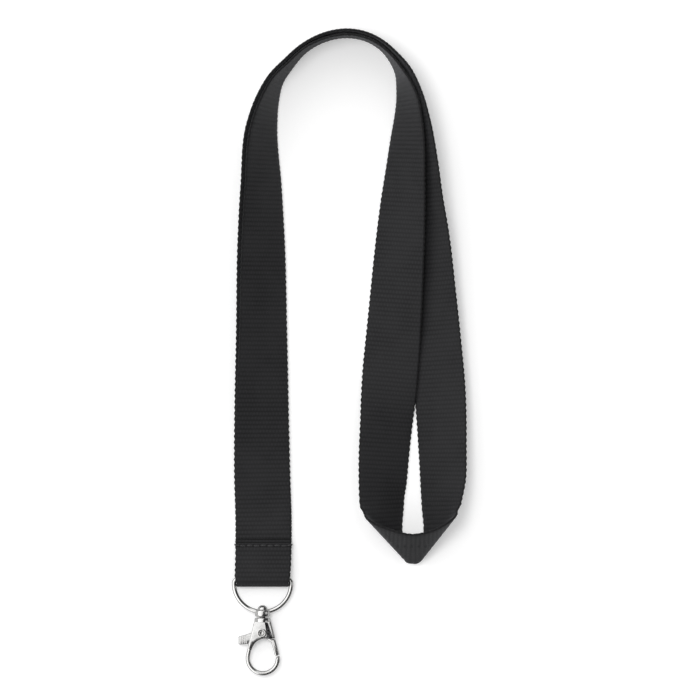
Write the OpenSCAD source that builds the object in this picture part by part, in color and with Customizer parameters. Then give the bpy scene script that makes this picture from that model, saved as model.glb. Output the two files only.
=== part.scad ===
// Lanyard: one strip of flat webbing folded into a neck loop, stitched round a D ring,
// with a swivel trigger hook on the ring.
// Millimetres, +Z up. The lanyard lies on the plane Z = 0 with the hook towards -Y, and the
// origin is the middle of its outline on that plane.

/* [Webbing] */
// Width of the webbing
web_w = 20; // [16:0.5:24]
// Thickness of the webbing
web_t = 0.95; // [0.8:0.05:1.15]
// Gap between two plies that lie on each other
ply_gap = 0.10; // [0.05:0.01:0.2]

/* [Stitching] */
// Distance from the bar of the D ring to the stitch row
stitch_row = 12.1; // [8:0.1:15]
// Length of one stitch
stitch_pitch = 2.5; // [1.8:0.1:3.2]
// Thickness of the sewing thread
thread_d = 0.44; // [0.3:0.02:0.6]

/* [D ring] */
// Thickness of the ring wire
wire_d = 1.6; // [1.2:0.1:2.0]
// How much wider than the webbing the ring is, outside
ring_allow = 2.4; // [2:0.1:4]
// Bend radius of the two corners, on the middle of the wire
corner_r = 1.6; // [1.2:0.1:2.4]

/* [Swivel eye] */
// Diameter of the barrel that the ring passes through
barrel_d = 5.8; // [5.2:0.1:7]
// Height of the dome above the middle of the ring wire
dome_h = 2.45; // [2.2:0.05:3.2]
// Diameter of the shank that turns in the hook body
shank_d = 2.0; // [1.6:0.1:2.4]
// Diameter of the peened end of the shank
peen_d = 3.2; // [2.8:0.1:3.4]

/* [Hook] */
// Distance from the ring wire to the far end of the bow
hook_l = 23.1; // [22:0.1:27]
// Outside radius of the bow
bow_r = 6.25; // [5.8:0.05:7]
// Width of the bow's bar, seen from the front
bow_bar = 1.6; // [1.3:0.05:2]
// Thickness of the bow
bow_t = 2.6; // [2.6:0.1:3.6]
// Thickness of the body at its two side plates
body_t = 4.6; // [4.4:0.1:5.2]
// Width of the slot between the side plates
slot_t = 2.4; // [2.2:0.1:2.6]
// Diameter of the rivet's shank
rivet_d = 1.6; // [1.3:0.1:1.8]
// Diameter of the rivet's heads
rivet_head_d = 3.4; // [3:0.1:3.8]
// Radial running clearance of the pins
run_clear = 0.05; // [0.02:0.01:0.1]

/* [Hidden] */
$fn = 64;

// Places that the pieces share
leg_x = -31.0;
ring_x = -31.3;
bar_y = -82.0;
wire_r = wire_d / 2;
ring_r = (web_w + ring_allow) / 2 - wire_r;
ply_pitch = web_t + ply_gap;
bar_z = 2 * ply_pitch + wire_r;
eye_y = bar_y - corner_r - ring_r;
stitch_y = bar_y + stitch_row;

// ---- webbing ----------------------------------------------------------------------------
// A cross line of the strip runs from its Q edge to its P edge. Each station below is
// [x, y, rise, tilt, skew, bearing] of one cross line, in travel order:
//   x, y     middle of the cross line
//   rise     height of the lower edge above a ply that lies on the table
//   tilt     slope of the cross line from Q to P, positive where P is the upper edge
//   skew     how far P runs ahead of Q along the strip, not 0 only round the lower fold
//   bearing  plan direction from Q to P; left out where it is square to the path

// Up the left leg, over the crown as the inner turn and down the right side
inner_run = [
    [-31.0, -60.0, ply_pitch, 0],
    [-31.3, -46.0, ply_pitch, 7],
    [-31.4, -24.5, 1.0, 18],
    [-31.0, 5.0, 0.8, 32],
    [-31.0, 37.0, 0.65, 39.5],
    [-31.0, 60.0, 0.5, 50],
    [-30.6, 83.0, 0.3, 64],
    [-28.5, 92.0, 0.2, 73],
    [-25.7, 98.8, 0.1, 80],
    [-21.4, 104.0, 0.1, 85],
    [-15.9, 109.6, 0.1, 88],
    [-7.6, 113.7, 0.1, 90],
    [-0.3, 114.8, 0.1, 90],
    [6.6, 113.4, 0.1, 90],
    [12.1, 110.1, 0.1, 89],
    [15.2, 106.8, 0.1, 87],
    [18.2, 102.0, 0.1, 83],
    [20.2, 96.4, 0.1, 74],
    [21.2, 91.8, 0.1, 68],
    [21.5, 86.0, 0.1, 62],
    [21.3, 78.0, 0.1, 54],
    [20.5, 66.0, 0.1, 46],
    [19.7, 55.5, 0.1, 38.5],
    [18.1, 33.0, 0.1, 26],
    [17.1, 18.5, 0.1, 19],
    [16.1, 5.0, 0.1, 11],
    [15.3, -4.5, 1.2, 3],
    [14.6, -13.5, 1.5, -7],
    [13.7, -24.5, 0.1, -19],
    [12.7, -38.0, 0.0, -26],
    [12.3, -47.0, 0.0, -31]
];

// Round the lower fold, where the strip rolls over at the left, crosses in front of both
// sides and rolls under at the right
lower_fold = [
    [12.0, -53.6, 0.0, -37, 0, 3],
    [12.0, -59.6, 0.1, -42, 7.5, -24],
    [12.7, -65.2, 0.4, -36, 15.9, -46],
    [13.1, -66.5, 1.9, -35, 16.8, -47],
    [13.9, -67.7, 3.4, -36, 16.2, -48],
    [18.2, -69.8, 3.5, -47, 8.5, -59],
    [23.1, -70.8, 3.2, -57, 0.6, -88],
    [28.1, -69.8, 3.5, -48, -7.4, -117],
    [32.0, -67.3, 3.4, -35, -15.0, -127],
    [32.8, -66.1, 1.9, -35, -15.7, -127],
    [33.0, -64.8, 0.4, -37, -14.9, -128],
    [33.6, -59.2, 0.1, -46, -6.4, -149],
    [33.6, -53.3, 0.0, -45, 0, -180]
];

// Back up the right side, over the crown as the outer turn and down the left leg
outer_run = [
    [34.1, -46.5, 0.0, -37],
    [33.9, -32.5, 0.0, -31],
    [33.1, -14.0, 0.0, -25],
    [31.6, 4.5, 0.0, -27],
    [30.2, 20.5, 0.0, -31],
    [28.3, 42.5, 0.0, -38],
    [27.0, 55.5, 0.0, -46],
    [26.1, 71.0, 0.0, -56],
    [25.1, 84.0, 0.0, -66],
    [23.4, 94.0, 0.1, -74],
    [20.3, 102.6, 0.1, -81],
    [16.7, 108.0, 0.1, -87],
    [13.4, 111.4, 0.1, -89],
    [7.4, 115.0, 0.1, -90],
    [-0.3, 116.5, 0.1, -90],
    [-8.0, 115.4, 0.1, -90],
    [-16.7, 110.8, 0.1, -88],
    [-22.5, 105.1, 0.1, -85],
    [-27.0, 99.4, 0.1, -80],
    [-29.9, 92.2, 0.1, -72],
    [-32.0, 83.0, 0.1, -63],
    [-32.5, 60.0, 0.0, -50],
    [-32.4, 37.0, 0.0, -39],
    [-32.1, 5.0, 0.0, -31],
    [-31.8, -24.5, 0.0, -17],
    [-31.5, -46.0, 0.0, -6],
    [-31.0, -60.0, 0.0, 0]
];
neck_loop = concat(inner_run, lower_fold, outer_run);

// Length of a cross line, and the height of its middle
function cross_l(s) = sqrt(web_w * web_w + pow(len(s) > 4 ? s[4] : 0, 2));
function mid_z(s) = web_t / 2 + s[2] + cross_l(s) / 2 * sin(abs(s[3]));
function square_to(a, b) = atan2(b[1] - a[1], b[0] - a[0]) + 90;
function bearing(list, i) =
    len(list[i]) > 5 ? list[i][5] : square_to(list[max(i - 1, 0)], list[min(i + 1, len(list) - 1)]);

// A cross line as [middle, vector from the middle to its P edge]
function cross_line(list, i) =
    let (s = list[i], h = cross_l(s) / 2, b = bearing(list, i))
    [[s[0], s[1], mid_z(s)], h * [cos(s[3]) * cos(b), cos(s[3]) * sin(b), sin(s[3])]];
loop_lines = [for (i = [0 : len(neck_loop) - 1]) cross_line(neck_loop, i)];

// The folded ends: level on the leg, round the bar and back over the top. The webbing is
// squeezed a little narrower where it passes between the sides of the ring.
squeezed_w = min(web_w, 2 * (ring_r - wire_r) - 1);
wrap_clear = 0.1;
ply_z = [for (n = [0 : 3]) web_t / 2 + n * ply_pitch];
function end_line(x, y, z, w, side) = [[x, y, z], [side * w / 2, 0, 0]];
function folded_end(under, over, turn, reach, side) =
    let (r = wire_r + wrap_clear + web_t / 2 + turn * ply_pitch, step = turn * ply_pitch)
    concat(
        [
            end_line(leg_x, reach, ply_z[over], web_w, side),
            end_line(leg_x, stitch_y, ply_z[over], web_w, side),
            end_line(leg_x - 0.05, bar_y + 8, ply_z[over] + 0.1, web_w, side),
            end_line(leg_x - 0.15, bar_y + 4.5, bar_z + 0.5 + step, web_w * 0.98, side),
            end_line(ring_x, bar_y + 1.8, bar_z + r - 0.1, squeezed_w, side)
        ],
        [
            for (a = [90 : 30 : 270])
                end_line(ring_x, bar_y + r * cos(a), bar_z + r * sin(a), squeezed_w, side)
        ],
        [
            end_line(ring_x, bar_y + 1.8, ply_z[under], squeezed_w, side),
            end_line(leg_x - 0.1, bar_y + 5, ply_z[under], web_w * 0.98, side),
            end_line(leg_x, stitch_y, ply_z[under], web_w, side)
        ]
    );
function backwards(list) = [for (i = [len(list) - 1 : -1 : 0]) list[i]];
inner_end = folded_end(1, 2, 0, stitch_y + 2.4, -1);
outer_end = backwards(folded_end(0, 3, 1, stitch_y + 1.4, 1));
lines = concat(inner_end, loop_lines, outer_end);

// A smooth curve through the stations, with the chord between them as its parameter
function chord(i) = norm(lines[i + 1][0] - lines[i][0]);
function slope(i, k) =
    i <= 0 ? (lines[1][k] - lines[0][k]) / chord(0) :
    i >= len(lines) - 1 ? (lines[i][k] - lines[i - 1][k]) / chord(i - 1) :
    let (a = chord(i - 1), b = chord(i))
    (b / a * (lines[i][k] - lines[i - 1][k]) + a / b * (lines[i + 1][k] - lines[i][k])) / (a + b);
function smooth(i, k, u) =
    let (c = chord(i), v = 1 - u)
    (1 + 2 * u) * v * v * lines[i][k] + u * v * v * c * slope(i, k)
    + u * u * (3 - 2 * u) * lines[i + 1][k] - u * u * v * c * slope(i + 1, k);
function smooth_d(i, k, u) =
    let (c = chord(i))
    6 * u * (1 - u) * (lines[i + 1][k] - lines[i][k]) / c
    + (1 - u) * (1 - 3 * u) * slope(i, k) + u * (3 * u - 2) * slope(i + 1, k);

// One ring of the strip: its four corners
ring_step = 5;
function corners(i, u) =
    let (
        m = smooth(i, 0, u),
        h = smooth(i, 1, u),
        n = cross(smooth_d(i, 0, u), h),
        t = n / norm(n) * web_t / 2,
        half = h / norm(h) * (norm(lines[i][1]) * (1 - u) + norm(lines[i + 1][1]) * u)
    )
    [m - half - t, m + half - t, m + half + t, m - half + t];
rings = concat(
    [
        for (i = [0 : len(lines) - 2])
            let (steps = max(1, ceil(chord(i) / ring_step)))
            for (j = [0 : steps - 1]) corners(i, j / steps)
    ],
    [corners(len(lines) - 2, 1)]
);

module webbing() {
    last = len(rings) - 1;
    side_faces = [
        for (i = [0 : last - 1])
            for (k = [0 : 3])
                let (a = 4 * i + k, b = 4 * i + (k + 1) % 4)
                each [[a, b, b + 4], [a, b + 4, a + 4]]
    ];
    z = 4 * last;
    end_faces = [[3, 2, 1], [3, 1, 0], [z, z + 1, z + 2], [z, z + 2, z + 3]];
    color("#2b2b2e")
        polyhedron(points = [for (r = rings) each r], faces = concat(side_faces, end_faces));
}

// ---- stitching --------------------------------------------------------------------------
stitch_count = floor((web_w - 1.5) / stitch_pitch);
knot_z = ply_z[1] + ply_pitch / 2;

// A run of thread across the strip, and a leg down to the knots at each needle hole
module stitch_row(run_z) {
    row_l = stitch_count * stitch_pitch;
    translate([leg_x - row_l / 2, stitch_y, run_z])
        rotate([0, 90, 0]) cylinder(d = thread_d, h = row_l, $fn = 16);
    for (i = [0 : stitch_count])
        translate([leg_x - row_l / 2 + i * stitch_pitch, stitch_y, min(run_z, knot_z)])
            cylinder(d = thread_d * 0.8, h = abs(run_z - knot_z), $fn = 16);
}

module needle_thread() {
    color("#303033") stitch_row(ply_z[3] + web_t / 2);
}

module bobbin_thread() {
    color("#303033") stitch_row(thread_d / 2 + 0.02);
}

// ---- D ring -----------------------------------------------------------------------------
module wire_bend(r, a) {
    rotate_extrude(angle = a) translate([r, 0]) circle(d = wire_d);
}

module d_ring() {
    flat = ring_r - corner_r;
    color("#c9cbce") translate([ring_x, bar_y, bar_z]) {
        translate([-flat, 0, 0]) rotate([0, 90, 0]) cylinder(d = wire_d, h = 2 * flat);
        translate([flat, -corner_r, 0]) wire_bend(corner_r, 90);
        translate([-flat, -corner_r, 0]) rotate([0, 0, 90]) wire_bend(corner_r, 90);
        translate([0, -corner_r, 0]) rotate([0, 0, 180]) wire_bend(ring_r, 180);
    }
}

// ---- swivel trigger hook ----------------------------------------------------------------
// Heights along the hook's axis, measured from the middle of the ring wire
barrel_top = 0.76;
collar_top = -2.2;
collar_foot = -3.3;
cavity_top = -4.3;
cavity_foot = -5.5;
plate_foot = -9.6;
slot_foot = -12.4;
block_foot = -14.5;
nose_gap = 0.7;
end_play = 0.15;
wire_play = 0.5;
barrel_foot = -(wire_r + wire_play + 0.3);
bow_x = 0.1;
bow_y = bow_r - hook_l;
bow_in_r = bow_r - bow_bar;
nose_y = bow_y + 0.55;
neck_hw = barrel_d / 2 + 0.1;
pivot = [-0.3, -7.6];
hub_r = 1.9;

module at_hook() {
    translate([ring_x, eye_y, bar_z]) children();
}

// A shape turned about the hook's own long axis
module about_axis() {
    rotate([-90, 0, 0]) rotate_extrude() children();
}

module swivel_eye() {
    r = barrel_d / 2;
    dome_r = r * 0.67;
    rim = 0.3;
    color("#c4c6c9") at_hook() difference() {
        union() {
            about_axis() polygon([
                [0, cavity_top - end_play - 0.8],
                [peen_d / 2, cavity_top - end_play - 0.8],
                [peen_d / 2, cavity_top - end_play],
                [shank_d / 2, cavity_top - end_play],
                [shank_d / 2, barrel_foot],
                [r - rim, barrel_foot],
                [r, barrel_foot + rim],
                [r, barrel_top - rim],
                [r - rim, barrel_top],
                [0, barrel_top]
            ]);
            about_axis() intersection() {
                translate([0, dome_h - dome_r]) circle(r = dome_r);
                translate([0, 0]) square([dome_r, dome_h]);
            }
        }
        translate([-r - 1, 0, 0])
            rotate([0, 90, 0]) cylinder(r = wire_r + wire_play, h = 2 * r + 2);
    }
}

// Points where the straight flanks touch the bow
flank = [neck_hw, collar_foot];
function touch(side) =
    let (
        dx = side * flank[0] - bow_x,
        dy = flank[1] - bow_y,
        d = sqrt(dx * dx + dy * dy),
        a = atan2(dy, dx) - side * acos(bow_r / d)
    )
    [bow_x + bow_r * cos(a), bow_y + bow_r * sin(a)];
function flank_x(side, y) =
    let (t = touch(side))
    side * flank[0] + (t[0] - side * flank[0]) * (flank[1] - y) / (flank[1] - t[1]);

module slab(t) {
    translate([0, 0, -t / 2]) linear_extrude(t) children();
}

// The eye of the hook, from the plates' lower edge to the bow
opening_points = [
    [bow_x - bow_in_r, bow_y],
    [-3.6, -12.9],
    [-2.9, -11.6],
    [-1.9, -10.6],
    [-0.4, plate_foot - 0.1],
    [0.8, plate_foot],
    [9, plate_foot],
    [9, nose_y],
    [bow_x + bow_in_r, nose_y],
    [bow_x + bow_in_r, bow_y]
];

module hook_body() {
    tl = touch(-1);
    tr = touch(1);
    color("#c4c6c9") at_hook() difference() {
        union() {
            slab(bow_t) translate([bow_x, bow_y]) circle(r = bow_r);
            slab(bow_t) polygon([[-flank[0], flank[1]], flank, tr, tl]);
            slab(body_t) polygon([
                [-flank[0], flank[1]],
                flank,
                [flank_x(1, block_foot), block_foot],
                [flank_x(-1, block_foot), block_foot]
            ]);
            translate([0, collar_foot, 0])
                rotate([-90, 0, 0]) cylinder(d = barrel_d, h = collar_top - collar_foot);
        }
        slab(body_t + 1) translate([bow_x, bow_y]) circle(r = bow_in_r);
        slab(body_t + 1) polygon(opening_points);
        // Slot for the trigger, open on the left and into the eye of the hook
        slab(slot_t) polygon([
            [-9, cavity_foot],
            [1.4, cavity_foot],
            [3.2, plate_foot - 0.1],
            [-1, plate_foot - 2],
            [-2, slot_foot],
            [-9, slot_foot]
        ]);
        // Recess beside the front plate
        translate([0, 0, -slot_t / 2]) linear_extrude(body_t) polygon([
            [0.8, -3.8],
            [1.9, -3.8],
            [3.75, plate_foot - 0.1],
            [1.8, plate_foot - 0.1]
        ]);
        // Cavity for the peened end, the shank's bore and the rivet's hole
        translate([0, cavity_foot, 0]) rotate([-90, 0, 0])
            cylinder(r = peen_d / 2 + 0.15, h = cavity_top - cavity_foot);
        translate([0, cavity_top - 0.1, 0]) rotate([-90, 0, 0])
            cylinder(r = shank_d / 2 + run_clear, h = collar_top - cavity_top + 0.2);
        translate([pivot[0], pivot[1], -body_t]) cylinder(d = rivet_d, h = 2 * body_t);
    }
}

hub_t = 1.4;
side_play = 0.15;
lever_foot = -slot_t / 2 + side_play;

module trigger() {
    tab_points = [
        [-0.3, -5.9],
        [-4.4, -7.7],
        [-8.6, -8.9],
        [-9.0, -9.3],
        [-8.8, -11.5],
        [-8.5, -11.9],
        [-4.9, -11.6],
        [-1.3, -9.1]
    ];
    gate_in = bow_x + bow_in_r - 0.25;
    gate_low = nose_y + 1.1;
    gate_points = [
        [1.0, -6.4],
        [3.1, -9.2],
        [3.5, plate_foot - 0.25],
        [flank_x(1, plate_foot) - 0.05, plate_foot - 0.25],
        [flank_x(1, gate_low) - 0.05, gate_low],
        [gate_in + 1.2, nose_y + nose_gap],
        [gate_in + 0.5, nose_y + nose_gap],
        [gate_in, gate_low],
        [3.1, -11],
        [0.4, -9.3]
    ];
    color("#c4c6c9") at_hook() difference() {
        translate([0, 0, lever_foot]) union() {
            linear_extrude(hub_t) translate(pivot) circle(r = hub_r);
            linear_extrude(hub_t) polygon(tab_points);
            linear_extrude(hub_t) polygon(gate_points);
            linear_extrude(slot_t - 2 * side_play) difference() {
                union() {
                    polygon(tab_points);
                    polygon(gate_points);
                }
                translate(pivot) circle(r = hub_r + 0.4);
            }
        }
        translate([pivot[0], pivot[1], -body_t])
            cylinder(r = rivet_d / 2 + run_clear, h = 2 * body_t);
    }
}

// Torsion spring: two and a quarter turns round the rivet. Its upper leg reaches towards the
// neck and its lower leg lies along the tab.
spring_wire = 0.26;
coil_r = rivet_d / 2 + 0.4;
coil_low = lever_foot + hub_t + 0.05 + spring_wire / 2;
coil_lift = spring_wire + 0.02;
coil_end = 810;
coil_path = concat(
    [[-2.1, coil_r, coil_low]],
    [for (a = [90 : 18 : coil_end]) [coil_r * cos(a), coil_r * sin(a), coil_low + coil_lift * (a - 90) / 720]],
    [[-1.4, coil_r + 0.1, coil_low + coil_lift]]
);

// A round wire swept along points that turn about the Z axis
module swept_wire(path, d, sides) {
    last = len(path) - 1;
    function way(i) =
        let (v = path[min(i + 1, last)] - path[max(i - 1, 0)])
        v / norm(v);
    ring_points = [
        for (i = [0 : last])
            let (t = way(i), side = cross(t, [0, 0, 1]), s = side / norm(side), up = cross(s, t))
            for (k = [0 : sides - 1])
                path[i] + d / 2 * (s * cos(360 * k / sides) + up * sin(360 * k / sides))
    ];
    skin = [
        for (i = [0 : last - 1])
            for (k = [0 : sides - 1])
                let (a = sides * i + k, b = sides * i + (k + 1) % sides)
                each [[a, a + sides, b + sides], [a, b + sides, b]]
    ];
    caps = [
        [for (k = [0 : sides - 1]) k],
        [for (k = [sides - 1 : -1 : 0]) sides * last + k]
    ];
    polyhedron(points = ring_points, faces = concat(skin, caps));
}

module trigger_spring() {
    color("#9a9ca0") at_hook() translate([pivot[0], pivot[1], 0])
        swept_wire(coil_path, spring_wire, 8);
}

module pivot_rivet() {
    head_t = 0.3;
    color("#b4b6ba") at_hook() translate([pivot[0], pivot[1], 0]) difference() {
        union() {
            translate([0, 0, -body_t / 2]) cylinder(d = rivet_d, h = body_t);
            for (s = [0, 1]) mirror([0, 0, s])
                translate([0, 0, body_t / 2])
                    cylinder(d1 = rivet_head_d, d2 = rivet_head_d - 0.3, h = head_t);
        }
        translate([0, 0, body_t / 2 + head_t - 0.15]) cylinder(r = 0.9, h = 1);
    }
}

webbing();
needle_thread();
bobbin_thread();
d_ring();
swivel_eye();
hook_body();
trigger();
trigger_spring();
pivot_rivet();
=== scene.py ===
import math

import bpy
import numpy as np
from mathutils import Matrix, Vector


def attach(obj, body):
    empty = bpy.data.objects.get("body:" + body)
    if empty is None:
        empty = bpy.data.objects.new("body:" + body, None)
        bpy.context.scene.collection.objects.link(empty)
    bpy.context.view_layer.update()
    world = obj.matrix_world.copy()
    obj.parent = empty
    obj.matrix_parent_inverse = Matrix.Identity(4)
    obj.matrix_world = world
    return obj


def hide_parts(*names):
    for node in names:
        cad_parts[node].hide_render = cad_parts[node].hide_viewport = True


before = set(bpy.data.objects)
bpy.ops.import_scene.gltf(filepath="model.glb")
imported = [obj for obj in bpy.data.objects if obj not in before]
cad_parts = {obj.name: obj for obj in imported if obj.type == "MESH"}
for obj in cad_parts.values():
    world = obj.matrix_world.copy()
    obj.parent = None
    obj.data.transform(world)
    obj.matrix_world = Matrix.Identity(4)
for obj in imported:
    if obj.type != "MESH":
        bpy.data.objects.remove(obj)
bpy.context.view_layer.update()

MM = 0.001

# ---- sizes and places, in millimetres ------------------------------------------------------
WEB_W = 20.0
WEB_T = 0.95
PLY_PITCH = 1.05
WIRE_R = 0.8
RING_R = 10.4
CORNER_R = 1.6
LEG_X = -31.0
RING_X = -31.3
BAR_Y = -82.0
BAR_Z = 2 * PLY_PITCH + WIRE_R
EYE_Y = BAR_Y - CORNER_R - RING_R
STITCH_Y = -69.9
STITCH_PITCH = 2.5
STITCH_COUNT = 7
THREAD_R = 0.2
BOBBIN_FACE_Z = 0.24

# The wrap round the bar: width on the bar and where it leaves the bar, and air round the wire
WRAP_W = 18.9
WRAP_FRONT_W = 19.2
WRAP_PLAY = 0.1

# Weave of the webbing
RIB_PITCH = 1.6
RIB_DEPTH = 0.13
ROWS_PER_RIB = 4
YARN_PITCH = 0.62
SCALLOP_PITCH = 2.1
SCALLOP_DEPTH = 0.34
PRESS_WIDTH = 0.65
PRESS_DEPTH = 0.26


# ---- camera --------------------------------------------------------------------------------
def add_camera():
    seen_width = 0.2545
    data = bpy.data.cameras.new("camera")
    data.lens = 300
    data.clip_start, data.clip_end = 0.05, 20
    camera = bpy.data.objects.new("camera", data)
    height = seen_width * data.lens / data.sensor_width
    camera.location = (0.00044, 0.00109, height)
    bpy.context.scene.collection.objects.link(camera)
    bpy.context.scene.camera = camera


add_camera()

# ---- route of the webbing ------------------------------------------------------------------
# Cross lines of the strip, in travel order: x, y, rise of the lower edge, tilt, and round the
# lower fold also the skew and the bearing.
INNER_RUN = [
    [-31.0, -60.0, PLY_PITCH, 0],
    [-31.3, -46.0, PLY_PITCH, 7],
    [-31.4, -24.5, 1.0, 18],
    [-31.0, 5.0, 0.8, 32],
    [-31.0, 37.0, 0.65, 39.5],
    [-31.0, 60.0, 0.5, 50],
    [-30.6, 83.0, 0.3, 64],
    [-28.5, 92.0, 0.2, 73],
    [-25.7, 98.8, 0.1, 80],
    [-21.4, 104.0, 0.1, 85],
    [-15.9, 109.6, 0.1, 88],
    [-7.6, 113.7, 0.1, 90],
    [-0.3, 114.8, 0.1, 90],
    [6.6, 113.4, 0.1, 90],
    [12.1, 110.1, 0.1, 89],
    [15.2, 106.8, 0.1, 87],
    [18.2, 102.0, 0.1, 83],
    [20.2, 96.4, 0.1, 74],
    [21.2, 91.8, 0.1, 68],
    [21.5, 86.0, 0.1, 62],
    [21.3, 78.0, 0.1, 54],
    [20.5, 66.0, 0.1, 46],
    [19.7, 55.5, 0.1, 38.5],
    [18.1, 33.0, 0.1, 26],
    [17.1, 18.5, 0.1, 19],
    [16.1, 5.0, 0.1, 11],
    [15.3, -4.5, 1.2, 3],
    [14.6, -13.5, 1.5, -7],
    [13.7, -24.5, 0.1, -19],
    [12.7, -38.0, 0.0, -26],
    [12.3, -47.0, 0.0, -31],
]
LOWER_FOLD = [
    [12.0, -53.6, 0.0, -37, 0, 3],
    [12.0, -59.6, 0.1, -42, 7.5, -24],
    [12.7, -65.2, 0.4, -36, 15.9, -46],
    [13.1, -66.5, 1.9, -35, 16.8, -47],
    [13.9, -67.7, 3.4, -36, 16.2, -48],
    [18.2, -69.8, 3.5, -47, 8.5, -59],
    [23.1, -70.8, 3.2, -57, 0.6, -88],
    [28.1, -69.8, 3.5, -48, -7.4, -117],
    [32.0, -67.3, 3.4, -35, -15.0, -127],
    [32.8, -66.1, 1.9, -35, -15.7, -127],
    [33.0, -64.8, 0.4, -37, -14.9, -128],
    [33.6, -59.2, 0.1, -46, -6.4, -149],
    [33.6, -53.3, 0.0, -45, 0, -180],
]
OUTER_RUN = [
    [34.1, -46.5, 0.0, -37],
    [33.9, -32.5, 0.0, -31],
    [33.1, -14.0, 0.0, -25],
    [31.6, 4.5, 0.0, -27],
    [30.2, 20.5, 0.0, -31],
    [28.3, 42.5, 0.0, -38],
    [27.0, 55.5, 0.0, -46],
    [26.1, 71.0, 0.0, -56],
    [25.1, 84.0, 0.0, -66],
    [23.4, 94.0, 0.1, -74],
    [20.3, 102.6, 0.1, -81],
    [16.7, 108.0, 0.1, -87],
    [13.4, 111.4, 0.1, -89],
    [7.4, 115.0, 0.1, -90],
    [-0.3, 116.5, 0.1, -90],
    [-8.0, 115.4, 0.1, -90],
    [-16.7, 110.8, 0.1, -88],
    [-22.5, 105.1, 0.1, -85],
    [-27.0, 99.4, 0.1, -80],
    [-29.9, 92.2, 0.1, -72],
    [-32.0, 83.0, 0.1, -63],
    [-32.5, 60.0, 0.0, -50],
    [-32.4, 37.0, 0.0, -39],
    [-32.1, 5.0, 0.0, -31],
    [-31.8, -24.5, 0.0, -17],
    [-31.5, -46.0, 0.0, -6],
    [-31.0, -60.0, 0.0, 0],
]
PLY_Z = [WEB_T / 2 + n * PLY_PITCH for n in range(4)]


def loop_lines():
    """Each cross line of the neck loop as its middle, the vector to its P edge, and its skew."""
    stations = INNER_RUN + LOWER_FOLD + OUTER_RUN
    lines = []
    for i, s in enumerate(stations):
        skew = s[4] if len(s) > 4 else 0
        half = math.hypot(WEB_W, skew) / 2
        tilt = math.radians(s[3])
        before, after = stations[max(i - 1, 0)], stations[min(i + 1, len(stations) - 1)]
        square = math.atan2(after[1] - before[1], after[0] - before[0]) + math.pi / 2
        bearing = math.radians(s[5]) if len(s) > 5 else square
        middle = (s[0], s[1], WEB_T / 2 + s[2] + half * math.sin(abs(tilt)))
        out = (math.cos(tilt) * math.cos(bearing), math.cos(tilt) * math.sin(bearing), math.sin(tilt))
        lines.append((middle, [half * c for c in out], skew))
    return lines


def folded_end(under, over, turn, reach, side):
    """Cross lines of one end: level on the leg, round the bar and back over the top."""
    r = WIRE_R + WRAP_PLAY + WEB_T / 2 + turn * PLY_PITCH
    lift = turn * PLY_PITCH
    at_front = WRAP_FRONT_W + 0.6 * turn
    rows = [
        (LEG_X, reach, PLY_Z[over], WEB_W),
        (LEG_X, STITCH_Y, PLY_Z[over], WEB_W),
        (LEG_X - 0.05, BAR_Y + 8, PLY_Z[over] + 0.1, WEB_W),
        (LEG_X - 0.15, BAR_Y + 4.5, BAR_Z + 0.5 + lift, WEB_W),
        (RING_X, BAR_Y + 1.8, BAR_Z + r - 0.1, at_front),
    ]
    for a in range(90, 271, 30):
        width = at_front if a == 90 else WRAP_W
        c, s = math.cos(math.radians(a)), math.sin(math.radians(a))
        rows.append((RING_X, BAR_Y + r * c, BAR_Z + r * s, width))
    rows += [
        (RING_X, BAR_Y + 1.8, PLY_Z[under], at_front),
        (LEG_X - 0.1, BAR_Y + 5, PLY_Z[under], WEB_W * 0.98),
        (LEG_X, STITCH_Y, PLY_Z[under], WEB_W),
    ]
    return [((x, y, z), (side * w / 2, 0, 0), 0) for x, y, z, w in rows]


def smooth_route(lines, step=0.2):
    """Close samples along the strip: middles, vectors to the P edge, and skews."""
    middle = np.array([l[0] for l in lines])
    reach = np.array([l[1] for l in lines])
    skew = np.array([[l[2]] for l in lines], float)
    chord = np.linalg.norm(np.diff(middle, axis=0), axis=1)
    share = np.concatenate([np.arange(0, 1, 1 / max(1, math.ceil(c / step))) + i
                            for i, c in enumerate(chord)] + [[len(chord)]])
    i = np.minimum(share.astype(int), len(chord) - 1)
    u = (share - i)[:, None]
    v, c = 1 - u, chord[i][:, None]

    def curve(values):
        d = np.diff(values, axis=0)
        slope = np.empty_like(values)
        slope[0], slope[-1] = d[0] / chord[0], d[-1] / chord[-1]
        a, b = chord[:-1, None], chord[1:, None]
        slope[1:-1] = (b / a * d[:-1] + a / b * d[1:]) / (a + b)
        return ((1 + 2 * u) * v * v * values[i] + u * v * v * c * slope[i]
                + u * u * (3 - 2 * u) * values[i + 1] - u * u * v * c * slope[i + 1])

    size = np.linalg.norm(reach, axis=1)[:, None]
    way = curve(reach)
    way *= (size[i] * v + size[i + 1] * u) / np.linalg.norm(way, axis=1)[:, None]
    return curve(middle), way, curve(skew)[:, 0]


def new_mesh_object(name, points, faces, uvs=None):
    """A piece made from points in millimetres; uvs holds one pair for each corner of each face."""
    mesh = bpy.data.meshes.new(name)
    mesh.from_pydata((np.asarray(points) * MM).tolist(), [], faces)
    if uvs is not None:
        layer = mesh.uv_layers.new(name="strip")
        layer.data.foreach_set("uv", np.asarray(uvs, np.float32).ravel())
    mesh.polygons.foreach_set("use_smooth", [True] * len(mesh.polygons))
    mesh.update()
    obj = bpy.data.objects.new(name, mesh)
    bpy.context.scene.collection.objects.link(obj)
    return obj


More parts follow.
